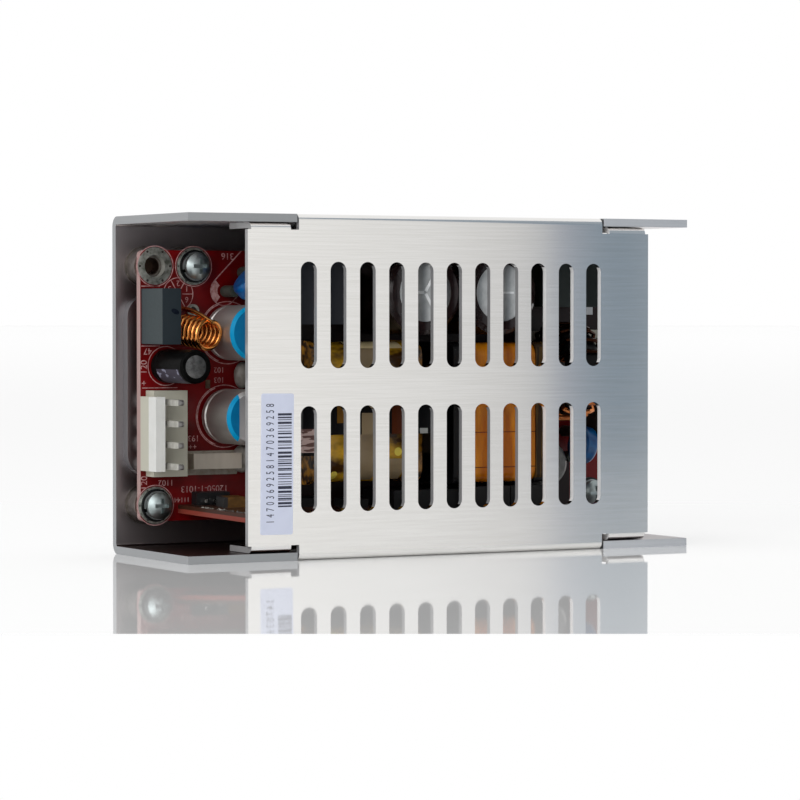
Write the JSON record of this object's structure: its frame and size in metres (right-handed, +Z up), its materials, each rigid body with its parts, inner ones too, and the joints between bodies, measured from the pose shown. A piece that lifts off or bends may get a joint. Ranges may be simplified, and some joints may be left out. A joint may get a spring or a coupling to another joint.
{
  "type": "mesh case switching power supply",
  "caption": "Switching power supply board in a folded aluminium channel, closed by a slotted aluminium cover and open at both ends for pin header plugs.",
  "frame": {"origin": "middle of the footprint, on the surface it stands on", "axes": "+X along the case from the output end to the input end, -Y out of the slotted cover, +Z up from the long side wall that it stands on"},
  "size_m": [0.1072, 0.0333, 0.0635],
  "materials": {
    "case_aluminium": "bare folded sheet",
    "cover_aluminium": "brushed along its length",
    "zinc_steel": "zinc plated",
    "red_board": "red solder resist",
    "white_nylon": "satin moulding",
    "tinned_metal": "bright tin",
    "slate_plastic": "moulded box",
    "copper_wire": "enamelled copper",
    "can_aluminium": "drawn can",
    "black_sleeve": "shrunk sleeve",
    "brown_sleeve": "shrunk sleeve",
    "black_rubber": "moulded",
    "black_plastic": "moulded",
    "ferrite": "sintered",
    "amber_tape": "polyester tape over wire",
    "orange_tape": "polyester tape over wire",
    "green_grey_plastic": "moulded box",
    "blue_coating": "dipped",
    "fuse_plastic": "moulded",
    "green_coating": "dipped",
    "heatsink_aluminium": "mill finish",
    "gold_brown_resin": "moulded",
    "chip_ceramic": "glazed",
    "solder": "bright",
    "label_film": "printed film"
  },
  "bodies": {
    "root": {"chassis": "case_aluminium", "cover": "cover_aluminium", "standoffs": "zinc_steel", "cover_screws": "zinc_steel", "board_screws": "zinc_steel", "lock_washers": "zinc_steel", "flat_washers": "zinc_steel", "circuit_board": "red_board", "control_board": "red_board", "output_header": "white_nylon", "input_header": "white_nylon", "output_pins": "tinned_metal", "input_pins": "tinned_metal", "shunt_bar": "tinned_metal", "control_pins": "tinned_metal", "disc_leads": "tinned_metal", "film_capacitor": "slate_plastic", "resonant_capacitor": "slate_plastic", "output_coil": "copper_wire", "line_choke_windings": "copper_wire", "small_can": "can_aluminium", "polymer_capacitors": "can_aluminium", "bulk_cans": "can_aluminium", "small_sleeve": "black_sleeve", "bulk_sleeves": "brown_sleeve", "polymer_bungs": "black_rubber", "shunt_base": "black_plastic", "transformer_bobbin": "black_plastic", "line_choke_base": "black_plastic", "bridge_rectifier": "black_plastic", "power_transistors": "black_plastic", "control_header": "black_plastic", "control_chips": "black_plastic", "transformer_core": "ferrite", "choke_core": "ferrite", "line_choke_core": "ferrite", "transformer_winding": "amber_tape", "choke_winding": "orange_tape", "line_capacitor": "green_grey_plastic", "disc_capacitors": "blue_coating", "fuse": "fuse_plastic", "thermistor": "green_coating", "heatsink": "heatsink_aluminium", "tantalum_capacitor": "gold_brown_resin", "chip_resistors": "chip_ceramic", "solder_joints": "solder", "label": "label_film"}
  },
  "joints": []
}
